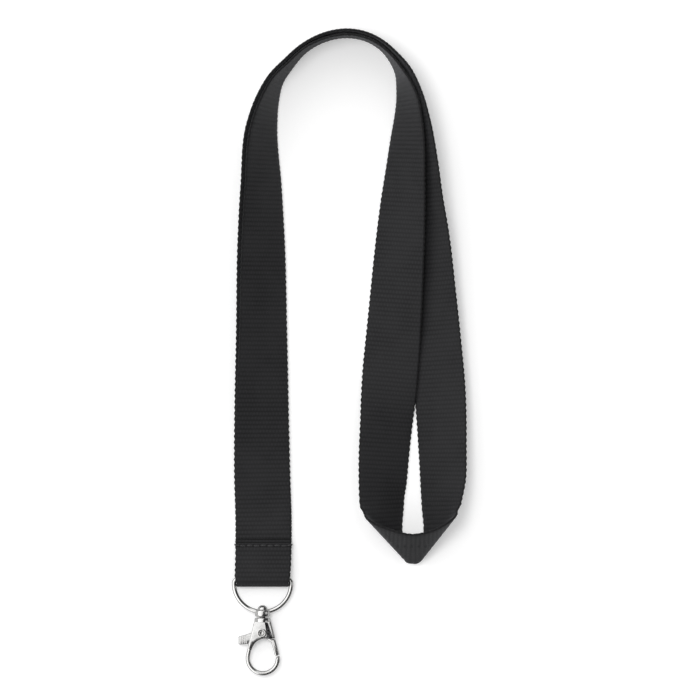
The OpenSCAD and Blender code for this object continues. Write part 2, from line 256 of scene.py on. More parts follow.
def make_webbing():
    lines = folded_end(1, 2, 0, STITCH_Y + 2.4, -1)
    lines += loop_lines()
    lines += folded_end(0, 3, 1, STITCH_Y + 1.4, 1)[::-1]
    middle, way, skew = smooth_route(lines)
    along = np.r_[0, np.cumsum(np.linalg.norm(np.diff(middle, axis=0), axis=1))]
    length = along[-1]

    # Columns across the strip: the share of the width, and how full the strip is there
    edge_r = WEB_T / 2
    inset = np.array([0.0, 0.06, 0.2, edge_r])
    inner = np.linspace(edge_r, WEB_W - edge_r, 11)[1:-1]
    place = np.r_[inset, inner, WEB_W - inset[::-1]]
    depth = np.minimum(place, WEB_W - place)
    full = np.where(depth < edge_r, np.sqrt(np.clip(1 - (1 - depth / edge_r) ** 2, 0, 1)), 1.0)
    share = place / WEB_W - 0.5

    rows = int(length / RIB_PITCH * ROWS_PER_RIB)
    s = np.linspace(0, length, rows + 1)
    index = np.arange(len(along), dtype=float)
    grid = np.empty((rows + 1, len(share), 3))
    for j, v in enumerate(share):
        here = np.maximum.accumulate(along + v * skew) + index * 1e-9
        t = np.interp(s, here, index)
        line = middle + 2 * v * way
        for k in range(3):
            grid[:, j, k] = np.interp(t, index, line[:, k])

    down = np.gradient(grid, axis=0)
    across = np.gradient(grid, axis=1)
    across /= np.linalg.norm(across, axis=2)[..., None]
    normal = np.cross(down, across)
    normal /= np.linalg.norm(normal, axis=2)[..., None]

    # Ribs: round crests with a narrow valley between them; both raw ends are pressed thin
    crest = np.abs(np.sin(np.pi * s / RIB_PITCH)) ** 0.8
    half = WEB_T / 2 - RIB_DEPTH * (1 - crest)
    half *= 0.55 + 0.45 * np.clip(np.minimum(s, length - s) / 0.8, 0, 1) ** 0.5
    scallop = SCALLOP_DEPTH * (0.5 - 0.5 * np.cos(2 * np.pi * s / SCALLOP_PITCH)) - 0.05
    outward = np.sign(share) * np.clip(1 - depth / 0.6, 0, 1)
    grid += across * (scallop[:, None] * outward[None, :])[..., None]
    lift = normal * (half[:, None] * full[None, :])[..., None]
    top, bottom = grid + lift, grid - lift
    ring = np.concatenate([top, bottom[:, -2:0:-1]], axis=1)

    # The stitch row pulls both outer faces in
    pressed = np.exp(-((ring[..., 1] - STITCH_Y) / PRESS_WIDTH) ** 2)
    pressed *= np.abs(ring[..., 0] - LEG_X) < WEB_W / 2 - 0.4
    on_leg = ring[..., 1] < STITCH_Y + 4
    front = on_leg & (ring[..., 2] > PLY_Z[3] + 0.2)
    back = on_leg & (ring[..., 2] < PLY_Z[0] - 0.2)
    ring[..., 2] -= PRESS_DEPTH * pressed * front
    ring[..., 2] += PRESS_DEPTH * pressed * back

    n = ring.shape[1]
    a = np.arange(rows)[:, None] * n + np.arange(n)[None, :]
    b = np.arange(rows)[:, None] * n + (np.arange(n)[None, :] + 1) % n
    quads = np.stack([a, a + n, b + n, b], axis=2).reshape(-1, 4)
    round_u = np.r_[place, 2 * WEB_W - place[-2:0:-1], 2 * WEB_W] * MM
    u0, u1 = np.broadcast_to(round_u[:-1], (rows, n)), np.broadcast_to(round_u[1:], (rows, n))
    v0 = np.broadcast_to(s[:-1, None] * MM, (rows, n))
    v1 = np.broadcast_to(s[1:, None] * MM, (rows, n))
    corners = ((u0, v0), (u0, v1), (u1, v1), (u1, v0))
    uvs = np.stack([np.stack(c, axis=2) for c in corners], axis=2).reshape(-1, 2)
    last = rows * n
    caps = [list(range(n)), [last + k for k in range(n - 1, -1, -1)]]
    cap_uvs = [(round_u[k], 0.0) for k in range(n)]
    cap_uvs += [(round_u[k], length * MM) for k in range(n - 1, -1, -1)]
    obj = new_mesh_object("webbing_strip", ring.reshape(-1, 3), quads.tolist() + caps,
                          np.concatenate([uvs, cap_uvs]))
    return obj, length


def make_tube(name, path, radii, sides=12):
    """A closed round tube along a path in millimetres, with its UV in metres round and along."""
    path = np.asarray(path, float)
    radii = np.broadcast_to(radii, len(path)).astype(float)
    way = np.gradient(path, axis=0)
    way /= np.linalg.norm(way, axis=1)[:, None]
    side = np.cross(way[0], (0.3, 0.9, 0.2))
    along = np.r_[0, np.cumsum(np.linalg.norm(np.diff(path, axis=0), axis=1))]
    angle = np.linspace(0, 2 * np.pi, sides, endpoint=False)
    points = [path[0]]
    for p, w, r in zip(path, way, radii):
        side = side - w * np.dot(side, w)
        side /= np.linalg.norm(side)
        up = np.cross(w, side)
        points += [p + r * (math.cos(a) * side + math.sin(a) * up) for a in angle]
    points.append(path[-1])
    faces, uvs = [], []
    end = len(points) - 1
    girth = 2 * math.pi * radii[0] * MM
    for k in range(sides):
        q = (k + 1) % sides
        u0, u1 = k / sides * girth, (k + 1) / sides * girth
        faces.append((0, 1 + q, 1 + k))
        uvs += [(u0, 0), (u1, 0), (u0, 0)]
        for i in range(len(path) - 1):
            a, b = 1 + i * sides + k, 1 + i * sides + q
            v0, v1 = along[i] * MM, along[i + 1] * MM
            faces.append((a, b, b + sides, a + sides))
            uvs += [(u0, v0), (u1, v0), (u1, v1), (u0, v1)]
        faces.append((end, end - sides + k, end - sides + q))
        uvs += [(u0, along[-1] * MM)] * 3
    return new_mesh_object(name, points, faces, uvs)


def cut_corners(values):
    """Rounds a path, or evens out its radii, by one round of corner cutting; the ends stay."""
    a, b = values[:-1], values[1:]
    cuts = np.stack([0.75 * a + 0.25 * b, 0.25 * a + 0.75 * b], axis=1)
    return np.concatenate([values[:1], cuts.reshape(-1, *values.shape[1:]), values[-1:]])


def make_stitches(name, face_z, inward, knot_z):
    """One thread of the stitch row: short floats on the face, dips at the needle holes, and a
    locked tail over each edge of the webbing."""
    half = STITCH_PITCH * STITCH_COUNT / 2
    path, thick = [], []

    def add(x, y, z, r=THREAD_R):
        path.append((LEG_X + x, STITCH_Y + y, z))
        thick.append(r)

    # A tail, from its knot over the edge to the row: distance out, height, radius
    edge = WEB_W / 2
    tail = [(edge + 0.1, knot_z, 0.12),
            (edge + 0.25, knot_z - inward * 0.35, 0.34),
            (edge + 0.3, face_z + inward * 0.9, 0.36),
            (edge + 0.12, face_z + inward * 0.1, 0.24),
            (edge - 0.45, face_z - inward * 0.05, THREAD_R),
            (half + 0.35, face_z + inward * 0.05, THREAD_R)]
    # A float on the face: share of the stitch's length, and how far in it lies there
    run = ((0.1, 0.36), (0.22, 0.05), (0.5, -0.12), (0.78, 0.05), (0.9, 0.36))

    for k, (x, z, r) in enumerate(tail):
        add(-x, 0.45 - 0.07 * k, z, r)
    for i in range(STITCH_COUNT + 1):
        x = -half + i * STITCH_PITCH
        add(x - 0.02, 0.0, face_z + inward * 0.45)
        add(x + 0.02, 0.0, face_z + inward * 0.45)
        if i < STITCH_COUNT:
            lean = 0.05 if i % 2 else -0.05
            for f, dip in run:
                add(x + f * STITCH_PITCH, lean * math.sin(math.pi * f) * 2, face_z + inward * (0.17 + dip))
    for k, (x, z, r) in enumerate(tail[::-1]):
        add(x, 0.1 + 0.07 * k, z, r)

    points, radii = np.array(path), np.array(thick)
    for _ in range(2):
        points, radii = cut_corners(points), cut_corners(radii)
    return make_tube(name, points, radii, 10)


# ---- metal pieces, modelled with operators -------------------------------------------------
def hook_point(x, y, z=0.0):
    """A point given from the middle of the ring wire inside the eye, in metres."""
    return Vector(((RING_X + x) * MM, (EYE_Y + y) * MM, (BAR_Z + z) * MM))


def start_at(name, place):
    """A new piece in edit mode that is one selected point."""
    bpy.ops.object.select_all(action="DESELECT")
    bpy.ops.mesh.primitive_plane_add(size=0.001, location=place)
    obj = bpy.context.active_object
    obj.name = name
    bpy.ops.object.mode_set(mode="EDIT")
    bpy.ops.mesh.select_all(action="SELECT")
    bpy.ops.mesh.merge(type="CENTER")
    return obj


def draw_line(points):
    """Extrudes the selected point through the points that follow the first."""
    for a, b in zip(points[:-1], points[1:]):
        bpy.ops.mesh.extrude_vertices_move(TRANSFORM_OT_translate={"value": b - a})


def finished(obj, angle=35):
    """Leaves edit mode, puts the piece's place into its mesh and shades it."""
    if bpy.context.mode == "EDIT_MESH":
        bpy.ops.object.mode_set(mode="OBJECT")
    bpy.ops.object.select_all(action="DESELECT")
    obj.select_set(True)
    bpy.context.view_layer.objects.active = obj
    bpy.ops.object.transform_apply(location=True, rotation=True, scale=True)
    if angle:
        bpy.ops.object.shade_smooth_by_angle(angle=math.radians(angle))
    return obj


def plate(name, outline, low, high, rounding, segments=4, thin_from=None):
    """A flat plate with rounded edges; its outline is in hook millimetres, low and high in z.
    thin_from gives a height below which both faces slope in, and the slope."""
    points = [hook_point(x, y, low) for x, y in outline]
    obj = start_at(name, points[0])
    draw_line(points)
    bpy.ops.mesh.select_all(action="SELECT")
    bpy.ops.mesh.edge_face_add()
    bpy.ops.mesh.select_all(action="SELECT")
    bpy.ops.mesh.extrude_region_move(TRANSFORM_OT_translate={"value": (0, 0, (high - low) * MM)})
    bpy.ops.mesh.select_all(action="SELECT")
    bpy.ops.mesh.normals_make_consistent(inside=False)
    if thin_from:
        edge = hook_point(0, thin_from[0])
        bpy.ops.mesh.select_all(action="SELECT")
        bpy.ops.mesh.bisect(plane_co=edge, plane_no=(0, 1, 0))
        finished(obj, 0)
        for v in obj.data.vertices:
            below = max(0.0, edge.y - v.co.y)
            v.co.z -= math.copysign(below * thin_from[1], v.co.z - edge.z)
    finished(obj, 0)
    if rounding:
        bevel = obj.modifiers.new("rounding", "BEVEL")
        bevel.use_clamp_overlap = False
        bevel.width, bevel.segments = rounding * MM, segments
        bevel.limit_method, bevel.angle_limit = "ANGLE", math.radians(50)
        bpy.ops.object.modifier_apply(modifier="rounding")
    return obj


def turned(name, profile, axis, centre=(0.0, 0.0), steps=48):
    """A piece turned on a lathe. profile gives (radius, height) pairs in hook millimetres; the
    axis is the hook's own long axis, "Y", or a line through centre along "Z"."""
    cx, cy = centre
    if axis == "Y":
        points = [hook_point(r, h) for r, h in profile]
        direction = (0, 1, 0)
    else:
        points = [hook_point(cx + r, cy, h) for r, h in profile]
        direction = (0, 0, 1)
    obj = start_at(name, points[0])
    draw_line(points)
    bpy.ops.mesh.select_all(action="SELECT")
    bpy.ops.mesh.spin(steps=steps, angle=2 * math.pi, center=hook_point(cx, cy), axis=direction)
    bpy.ops.mesh.select_all(action="SELECT")
    bpy.ops.mesh.remove_doubles(threshold=0.000002)
    bpy.ops.mesh.select_all(action="SELECT")
    bpy.ops.mesh.normals_make_consistent(inside=False)
    return finished(obj)


def cut(obj, *cutters):
    """Cuts the other shapes out of obj, and removes them."""
    for other in cutters:
        modifier = obj.modifiers.new("cut", "BOOLEAN")
        modifier.operation, modifier.solver, modifier.object = "DIFFERENCE", "EXACT", other
        bpy.ops.object.select_all(action="DESELECT")
        bpy.context.view_layer.objects.active = obj
        obj.select_set(True)
        bpy.ops.object.modifier_apply(modifier="cut")
        bpy.data.objects.remove(other)
    return obj


def join(obj, *others):
    """Makes the closed shapes one piece."""
    bpy.ops.object.select_all(action="DESELECT")
    for other in (obj, *others):
        other.select_set(True)
    bpy.context.view_layer.objects.active = obj
    bpy.ops.object.join()
    return obj


def arc(cx, cy, r, start, end, steps):
    return [(cx + r * math.cos(math.radians(start + (end - start) * k / steps)),
             cy + r * math.sin(math.radians(start + (end - start) * k / steps)))
            for k in range(steps + 1)]


def make_d_ring():
    """One wire: half of the bar, a corner, the bow, the other corner and back to the butt joint."""
    middle = Vector((RING_X * MM, BAR_Y * MM, BAR_Z * MM))
    flat = (RING_R - CORNER_R) * MM
    gap = 0.00004
    bpy.ops.object.select_all(action="DESELECT")
    bpy.ops.mesh.primitive_circle_add(vertices=28, radius=WIRE_R * MM, fill_type="NGON",
                                      location=middle + Vector((gap, 0, 0)),
                                      rotation=(0, math.pi / 2, 0))
    obj = bpy.context.active_object
    obj.name = "d_ring_wire"
    bpy.ops.object.mode_set(mode="EDIT")
    bpy.ops.mesh.select_all(action="SELECT")
    bpy.ops.mesh.extrude_region_move(TRANSFORM_OT_translate={"value": (flat - gap, 0, 0)})
    corner = Vector((flat, -CORNER_R * MM, 0))
    bend = dict(axis=(0, 0, 1), dupli=False)
    bpy.ops.mesh.spin(steps=10, angle=math.pi / 2, center=middle + corner, **bend)
    bpy.ops.mesh.spin(steps=72, angle=math.pi, center=middle + Vector((0, corner.y, 0)), **bend)
    bpy.ops.mesh.spin(steps=10, angle=math.pi / 2,
                      center=middle + Vector((-flat, corner.y, 0)), **bend)
    bpy.ops.mesh.extrude_region_move(TRANSFORM_OT_translate={"value": (flat - gap, 0, 0)})
    bpy.ops.mesh.select_all(action="SELECT")
    bpy.ops.mesh.remove_doubles(threshold=0.000002)
    bpy.ops.mesh.select_all(action="SELECT")
    bpy.ops.mesh.normals_make_consistent(inside=False)
    return finished(obj, 50)


# Heights along the hook's axis, from the middle of the ring wire
COLLAR_TOP, COLLAR_FOOT = -2.2, -3.3
PLATE_FOOT, BLOCK_FOOT, NOSE_Y = -9.6, -14.5, -16.3
# The hook's radii, the bow's middle and half thicknesses
BOW_R, BOW_IN_R, BOW_X, BOW_Y = 6.25, 4.65, 0.1, -16.85
NECK_R, SHANK_R, PEEN_R, EYE_HOLE_R = 2.9, 1.0, 1.6, 1.28
SHANK_BORE_R, CAVITY_R = 1.05, 1.75
PLATE_Z, SLOT_Z, BOW_Z = 2.3, 1.2, 1.3
PIVOT = (-0.3, -7.6)
PIN_R, PIN_BORE_R = 0.8, 0.85
FLANK = (3.0, COLLAR_FOOT)


def touch(side):
    """Where the flank on that side meets the bow's outer circle, and the angle there."""
    dx, dy = side * FLANK[0] - BOW_X, FLANK[1] - BOW_Y
    a = math.atan2(dy, dx) - side * math.acos(BOW_R / math.hypot(dx, dy))
    return BOW_X + BOW_R * math.cos(a), BOW_Y + BOW_R * math.sin(a), math.degrees(a)


def flank_x(side, y):
    """The x of the flank on that side at a height."""
    x, ty, _ = touch(side)
    return side * FLANK[0] + (x - side * FLANK[0]) * (FLANK[1] - y) / (FLANK[1] - ty)


def make_swivel_eye():
    dome = 1.95
    profile = [(0.0, -5.25), (1.45, -5.25), (PEEN_R, -5.1), (PEEN_R, -4.55), (SHANK_R, -4.45),
               (SHANK_R, -1.6), (2.45, -1.6), (2.7, -1.5), (2.85, -1.28), (NECK_R, -1.0), (NECK_R, 0.2),
               (2.84, 0.48), (2.68, 0.66), (2.4, 0.76), (dome + 0.12, 0.78), (dome, 0.86)]
    profile += [(x, y) for x, y in arc(0, 0.55, dome, 12, 90, 9)]
    profile[-1] = (0.0, profile[-1][1])
    obj = turned("swivel_eye_barrel", profile, "Y", steps=56)
    bpy.ops.object.select_all(action="DESELECT")
    bpy.ops.mesh.primitive_cylinder_add(vertices=40, radius=EYE_HOLE_R * MM, depth=9 * MM,
                                        location=hook_point(0, 0), rotation=(0, math.pi / 2, 0))
    hole = bpy.context.active_object
    cut(obj, hole)
    soften(obj, 0.12, 2)
    return finished(obj)


def soften(obj, width, segments):
    bevel = obj.modifiers.new("soften", "BEVEL")
    bevel.width, bevel.segments = width * MM, segments
    bevel.limit_method, bevel.angle_limit = "ANGLE", math.radians(60)
    bpy.context.view_layer.objects.active = obj
    bpy.ops.object.modifier_apply(modifier="soften")


def make_hook_body():
    # The bow: from the nose round to the left flank, where its end is buried in the body
    left = touch(-1)
    nose_out = math.degrees(math.asin((NOSE_Y + 0.55 - BOW_Y) / BOW_R))
    nose_in = math.degrees(math.asin((NOSE_Y - 0.3 - BOW_Y) / BOW_IN_R))
    bow_end = -12.8
    outline = arc(BOW_X, BOW_Y, BOW_R, nose_out, left[2] - 360, 44)
    outline += [(flank_x(-1, -14.3), -14.3), (flank_x(-1, bow_end) + 0.08, bow_end),
                (-3.7, bow_end), (-4.03, -13.7), (-4.35, -15.0)]
    outline += arc(BOW_X, BOW_Y, BOW_IN_R, nose_in, -187, 36)[::-1]
    bow = plate("bow", outline, -BOW_Z, BOW_Z, 0.74, 6)

    # The body: two side plates with a slot between them, thinner towards the bow
    inside_top = [(1.4, PLATE_FOOT), (0.4, -9.65), (-0.6, -9.85), (-1.5, -10.3), (-2.3, -10.95),
                  (-3.0, -11.75), (-3.55, -12.75), (-3.95, -13.7)]
    outline = [(-FLANK[0], COLLAR_FOOT), (FLANK[0], COLLAR_FOOT),
               (flank_x(1, PLATE_FOOT), PLATE_FOOT)]
    outline += inside_top + [(-4.2, BLOCK_FOOT), (flank_x(-1, BLOCK_FOOT), BLOCK_FOOT)]
    body = plate("hook_body_casting", outline, -PLATE_Z, PLATE_Z, 0.46, 5, thin_from=(-10.6, 0.36))
    slot = plate("slot", [(-9, -5.5), (1.4, -5.5), (3.2, -9.72), (-1, -11.6), (-2, -12.4), (-9, -12.4)],
                 -SLOT_Z, SLOT_Z, 0)
    recess = plate("recess", [(0.8, -3.75), (1.95, -3.75), (3.85, -9.78), (1.75, -9.78)],
                   -SLOT_Z + 0.02, PLATE_Z + 0.9, 0)
    bore = turned("bore", [(0.0, -5.49), (CAVITY_R, -5.49), (CAVITY_R, -4.3), (SHANK_BORE_R, -4.3),
                           (SHANK_BORE_R, -2.1), (0.0, -2.1)], "Y", steps=32)
    hole_r, through = PIN_R - 0.01, PLATE_Z + 0.3
    hole = turned("rivet_hole", [(0.0, -through), (hole_r, -through), (hole_r, through), (0.0, through)],
                  "Z", PIVOT, 32)
    cut(body, slot, recess, bore, hole)
    foot = COLLAR_FOOT - 0.3
    collar = turned("collar", [(SHANK_BORE_R, foot), (NECK_R, foot), (NECK_R, COLLAR_TOP - 0.25),
                               (2.82, COLLAR_TOP - 0.09), (2.66, COLLAR_TOP), (SHANK_BORE_R, COLLAR_TOP),
                               (SHANK_BORE_R, foot)], "Y")
    return finished(join(body, bow, collar), 32)


def make_trigger():
    low, high, hub_top = -1.05, 1.05, 0.35
    thumb = [(-0.6, -6.2), (-2.5, -6.9), (-4.6, -7.75), (-6.6, -8.4), (-8.2, -8.8), (-8.75, -9.05),
             (-8.98, -9.5), (-8.86, -11.2), (-8.66, -11.68), (-8.2, -11.88), (-6.6, -11.75),
             (-4.9, -11.5), (-3.0, -10.4), (-1.5, -9.2)]
    gate = [(1.0, -6.4), (3.0, -9.2), (3.45, -9.9), (flank_x(1, -9.9) - 0.1, -9.9),
            (flank_x(1, -15.45) - 0.08, -15.45), (4.75, -16.2), (4.5, -15.9),
            (3.15, -11.0), (0.4, -9.2)]
    tab = plate("trigger_lever", thumb, low, high, 0.42, 4)
    bar = plate("gate", gate, low + 0.02, high - 0.02, 0.5, 5)
    # A round pocket for the spring's coil, and the bore for the pin
    pocket_r, floor_z = 2.3, hub_top - 0.2
    for part in (tab, bar):
        pocket = turned("pocket", [(0.0, floor_z), (pocket_r, floor_z), (pocket_r, 2.0), (0.0, 2.0)],
                        "Z", PIVOT)
        bore = turned("pin_bore", [(0.0, -3), (PIN_BORE_R, -3), (PIN_BORE_R, 3), (0.0, 3)],
                      "Z", PIVOT, 32)
        cut(part, pocket, bore)
    hub_r, foot = 1.88, low - 0.02
    hub = turned("hub", [(PIN_BORE_R, foot), (hub_r, foot), (hub_r, hub_top), (PIN_BORE_R, hub_top),
                         (PIN_BORE_R, foot)], "Z", PIVOT)
    # Grip grooves across the thumb end of the tab
    for i in range(4):
        x = -8.15 + i * 0.72
        bpy.ops.object.select_all(action="DESELECT")
        bpy.ops.mesh.primitive_cylinder_add(vertices=20, radius=0.22 * MM, depth=7 * MM,
                                            location=hook_point(x, -10.3, high + 0.12),
                                            rotation=(math.pi / 2, 0, 0))
        cut(tab, bpy.context.active_object)
    return finished(join(tab, bar, hub), 32)


def make_rivet():
    """A plain low head at the back and a dimpled one at the front, from radii and heights."""
    face, head = PLATE_Z, 0.34
    top = [(1.62, 0), (1.7, 0.08), (1.66, 0.2), (1.5, 0.31), (1.3, head), (1.12, 0.3), (0.99, 0.17),
           (0.88, 0), (0.7, -0.25), (0.4, -0.42), (0.0, -0.46)]
    foot = [(0.0, head), (1.25, head), (1.5, 0.24), (1.66, 0.1), (1.62, 0)]
    profile = [(r, -face - h) for r, h in foot] + [(PIN_R, -face), (PIN_R, face)]
    profile += [(r, face + h) for r, h in top]
    return turned("pivot_rivet_pin", profile, "Z", PIVOT, 48)


# ---- materials -----------------------------------------------------------------------------
class Nodes:
    """Short calls for the nodes of one material or group."""

    def __init__(self, tree):
        self.tree = tree

    def add(self, kind, inputs=(), **settings):
        node = self.tree.nodes.new(kind)
        for key, value in settings.items():
            setattr(node, key, value)
        for key, value in dict(inputs).items():
            if isinstance(value, bpy.types.NodeSocket):
                self.tree.links.new(value, node.inputs[key])
            else:
                node.inputs[key].default_value = value
        return node

    def math(self, operation, a, b=0.0, c=0.0):
        return self.add("ShaderNodeMath", {0: a, 1: b, 2: c}, operation=operation).outputs[0]

    def noise(self, vector, scale, detail=3.0, roughness=0.55):
        node = self.add("ShaderNodeTexNoise", {"Vector": vector, "Scale": scale, "Detail": detail,
                                               "Roughness": roughness})
        return node.outputs["Fac"]

    def stretch(self, vector, scale):
        return self.add("ShaderNodeMapping", {"Vector": vector, "Scale": scale}).outputs["Vector"]

    def step(self, value, low, high, to_low=0.0, to_high=1.0):
        node = self.add("ShaderNodeMapRange", {"Value": value, "From Min": low, "From Max": high,
                                               "To Min": to_low, "To Max": to_high},
                        interpolation_type="SMOOTHSTEP")
        return node.outputs["Result"]

    def mix(self, factor, a, b):
        node = self.add("ShaderNodeMix", {0: factor, 6: a, 7: b}, data_type="RGBA")
        return node.outputs[2]

    def bump(self, height, strength, distance, normal=None):
        inputs = {"Height": height, "Strength": strength, "Distance": distance}
        if normal is not None:
            inputs["Normal"] = normal
        return self.add("ShaderNodeBump", inputs).outputs["Normal"]


def new_group(name, inputs, outputs):
    tree = bpy.data.node_groups.new(name, "ShaderNodeTree")
    for label, kind, value in inputs:
        socket = tree.interface.new_socket(label, in_out="INPUT", socket_type=kind)
        if value is not None:
            socket.default_value = value
    for label in outputs:
        tree.interface.new_socket(label, in_out="OUTPUT", socket_type="NodeSocketFloat")
    return tree, tree.nodes.new("NodeGroupInput"), tree.nodes.new("NodeGroupOutput")


def mottling_group():
    """Slow unevenness and a fine grain, both from 0 to 1."""
    tree, inp, out = new_group("mottling", [("Vector", "NodeSocketVector", None),
                                            ("Patch Scale", "NodeSocketFloat", 300.0),
                                            ("Grain Scale", "NodeSocketFloat", 6000.0)],
                               ["Patches", "Grain"])
    n = Nodes(tree)
    slow = n.noise(inp.outputs["Vector"], inp.outputs["Patch Scale"], 4.0)
    fine = n.noise(inp.outputs["Vector"], inp.outputs["Grain Scale"], 2.0, 0.7)
    tree.links.new(n.step(slow, 0.35, 0.65), out.inputs["Patches"])
    tree.links.new(fine, out.inputs["Grain"])
    return tree


def hairline_group():
    """Fine wear scratches in two directions, 1 inside a scratch."""
    tree, inp, out = new_group("hairlines", [("Vector", "NodeSocketVector", None),
                                             ("Amount", "NodeSocketFloat", 0.3)], ["Mask"])
    n = Nodes(tree)
    masks = []
    for scale, turn in (((2600.0, 130.0, 700.0), 0.45), ((150.0, 2300.0, 800.0), -0.3)):
        mapped = n.add("ShaderNodeMapping", {"Vector": inp.outputs["Vector"], "Scale": scale,
                                             "Rotation": (0.0, 0.0, turn)}).outputs["Vector"]
        masks.append(n.step(n.noise(mapped, 1.0, 2.0), 0.64, 0.72))
    both = n.math("MAXIMUM", masks[0], masks[1])
    tree.links.new(n.math("MULTIPLY", both, inp.outputs["Amount"]), out.inputs["Mask"])
    return tree


def twist_group():
    """Plies of a twisted yarn, from the UV map: 1 on a ply and 0 between two plies."""
    tree, inp, out = new_group("yarn_twist", [("Vector", "NodeSocketVector", None),
                                              ("Turns", "NodeSocketFloat", 1500.0),
                                              ("Slant", "NodeSocketFloat", 2500.0)], ["Ply"])
    n = Nodes(tree)
    parts = n.add("ShaderNodeSeparateXYZ", {"Vector": inp.outputs["Vector"]})
    across = n.math("MULTIPLY", parts.outputs["X"], inp.outputs["Slant"])
    phase = n.math("MULTIPLY_ADD", parts.outputs["Y"], inp.outputs["Turns"], across)
    wave = n.math("ABSOLUTE", n.math("SINE", n.math("MULTIPLY", phase, math.pi)))
    tree.links.new(n.math("POWER", wave, 0.6), out.inputs["Ply"])
    return tree


MOTTLING, HAIRLINES, TWIST = mottling_group(), hairline_group(), twist_group()


def new_material(name, **sockets):
    material = bpy.data.materials.new(name)
    material.use_nodes = True
    tree = material.node_tree
    shader = tree.nodes["Principled BSDF"]
    for key, value in sockets.items():
        shader.inputs[key.replace("_", " ")].default_value = value
    return material, Nodes(tree), shader


def use_group(n, group, **inputs):
    node = n.add("ShaderNodeGroup", node_tree=group)
    for key, value in inputs.items():
        key = key.replace("_", " ")
        if isinstance(value, bpy.types.NodeSocket):
            n.tree.links.new(value, node.inputs[key])
        else:
            node.inputs[key].default_value = value
    return node


def melt_line_and_shade_mask(n, parts, place, length):
    """1 where the strip is painted dark: a band at both raw ends, partly the dark heat-cut melt line and
    partly painted shade; painted shade along both selvedges and in the needle holes.
    """
    end = n.step(parts.outputs["Y"], 0.0003, 0.00055, 1.0, 0.0)
    end = n.math("MAXIMUM", end, n.step(parts.outputs["Y"], length - 0.00055, length - 0.0003))
    turn_over = n.math("PINGPONG", parts.outputs["X"], WEB_W * MM)
    edge = n.math("MINIMUM", turn_over, n.math("SUBTRACT", WEB_W * MM, turn_over))
    selvedge = n.step(edge, 0.0002, 0.0006, 0.55, 0.0)
    spot = n.add("ShaderNodeSeparateXYZ", {"Vector": place})
    first_hole = (LEG_X - STITCH_PITCH * STITCH_COUNT / 2) * MM
    holes = n.math("DIVIDE", n.math("SUBTRACT", spot.outputs["X"], first_hole), STITCH_PITCH * MM)
    to_hole = n.math("ABSOLUTE", n.math("SUBTRACT", n.math("FRACT", n.math("ADD", holes, 0.5)), 0.5))
    off_row = n.math("ABSOLUTE", n.math("SUBTRACT", spot.outputs["Y"], STITCH_Y * MM))
    hole = n.math("MULTIPLY", n.step(to_hole, 0.12, 0.24, 1.0, 0.0),
                  n.step(off_row, 0.0003, 0.0006, 1.0, 0.0))
    return n.math("MAXIMUM", n.math("MAXIMUM", end, selvedge), n.math("MULTIPLY", hole, 0.85))


def webbing_material(length):
    """Woven yarns over ribs, for a strip of that length in metres."""
    material, n, shader = new_material("woven_charcoal_polyester", Sheen_Weight=0.16,
                                       Sheen_Roughness=0.4)
    shader.inputs["Sheen Tint"].default_value = (0.75, 0.76, 0.8, 1)
    shader.inputs["Specular IOR Level"].default_value = 0.3
    coords = n.add("ShaderNodeTexCoord")
    uv, place = coords.outputs["UV"], coords.outputs["Object"]
    parts = n.add("ShaderNodeSeparateXYZ", {"Vector": uv})
    # Warp yarns side by side; each one crosses over one rib and dips under the next
    column = n.math("DIVIDE", parts.outputs["X"], YARN_PITCH * MM)
    odd = n.math("MODULO", n.math("FLOOR", column), 2.0)
    rib = n.math("DIVIDE", parts.outputs["Y"], RIB_PITCH * MM)
    bulge = n.math("ABSOLUTE", n.math("SINE", n.math("MULTIPLY", column, math.pi)))
    yarn = n.math("POWER", bulge, 0.5)
    turn = n.math("MULTIPLY_ADD", odd, math.pi, n.math("MULTIPLY", rib, math.pi))
    over = n.math("MULTIPLY_ADD", n.math("SINE", turn), 0.5, 0.5)
    crest = n.math("ABSOLUTE", n.math("SINE", n.math("MULTIPLY", rib, math.pi)))
    plies = use_group(n, TWIST, Vector=uv, Turns=2100.0, Slant=1900.0).outputs["Ply"]
    mottle = use_group(n, MOTTLING, Vector=place, Patch_Scale=70.0, Grain_Scale=3800.0)
    height = n.math("MULTIPLY_ADD", yarn, 0.5, n.math("MULTIPLY", over, 0.35))
    height = n.math("MULTIPLY_ADD", plies, 0.16, height)
    height = n.math("MULTIPLY_ADD", mottle.outputs["Grain"], 0.2, height)
    # Painted shade and highlight: the colour is darker in the valleys between ribs and yarns, lighter on
    # the crests and raised yarns
    raised = n.math("MULTIPLY", n.math("MULTIPLY", yarn, over), 0.4)
    shade = n.math("MULTIPLY_ADD", crest, 0.6, raised)
    base = n.mix(shade, (0.006, 0.006, 0.0066, 1), (0.023, 0.023, 0.0245, 1))
    worn = n.mix(n.math("MULTIPLY", mottle.outputs["Patches"], 0.3), base, (0.027, 0.027, 0.0285, 1))
    lint = n.step(n.noise(n.stretch(place, (900.0, 2600.0, 1700.0)), 1.0, 1.0), 0.74, 0.8, 0.0, 0.35)
    furred = n.mix(lint, worn, (0.07, 0.07, 0.074, 1))
    # Painted shade along the selvedges and in the needle holes; at the raw ends partly painted shade,
    # partly the dark melt line
    melt_line_and_shade = melt_line_and_shade_mask(n, parts, place, length)
    colour = n.mix(melt_line_and_shade, furred, (0.003, 0.003, 0.0033, 1))
    rough = n.math("MULTIPLY_ADD", mottle.outputs["Grain"], 0.2, 0.66)
    n.tree.links.new(colour, shader.inputs["Base Color"])
    n.tree.links.new(rough, shader.inputs["Roughness"])
    n.tree.links.new(n.bump(height, 0.55, 0.00012), shader.inputs["Normal"])
    return material


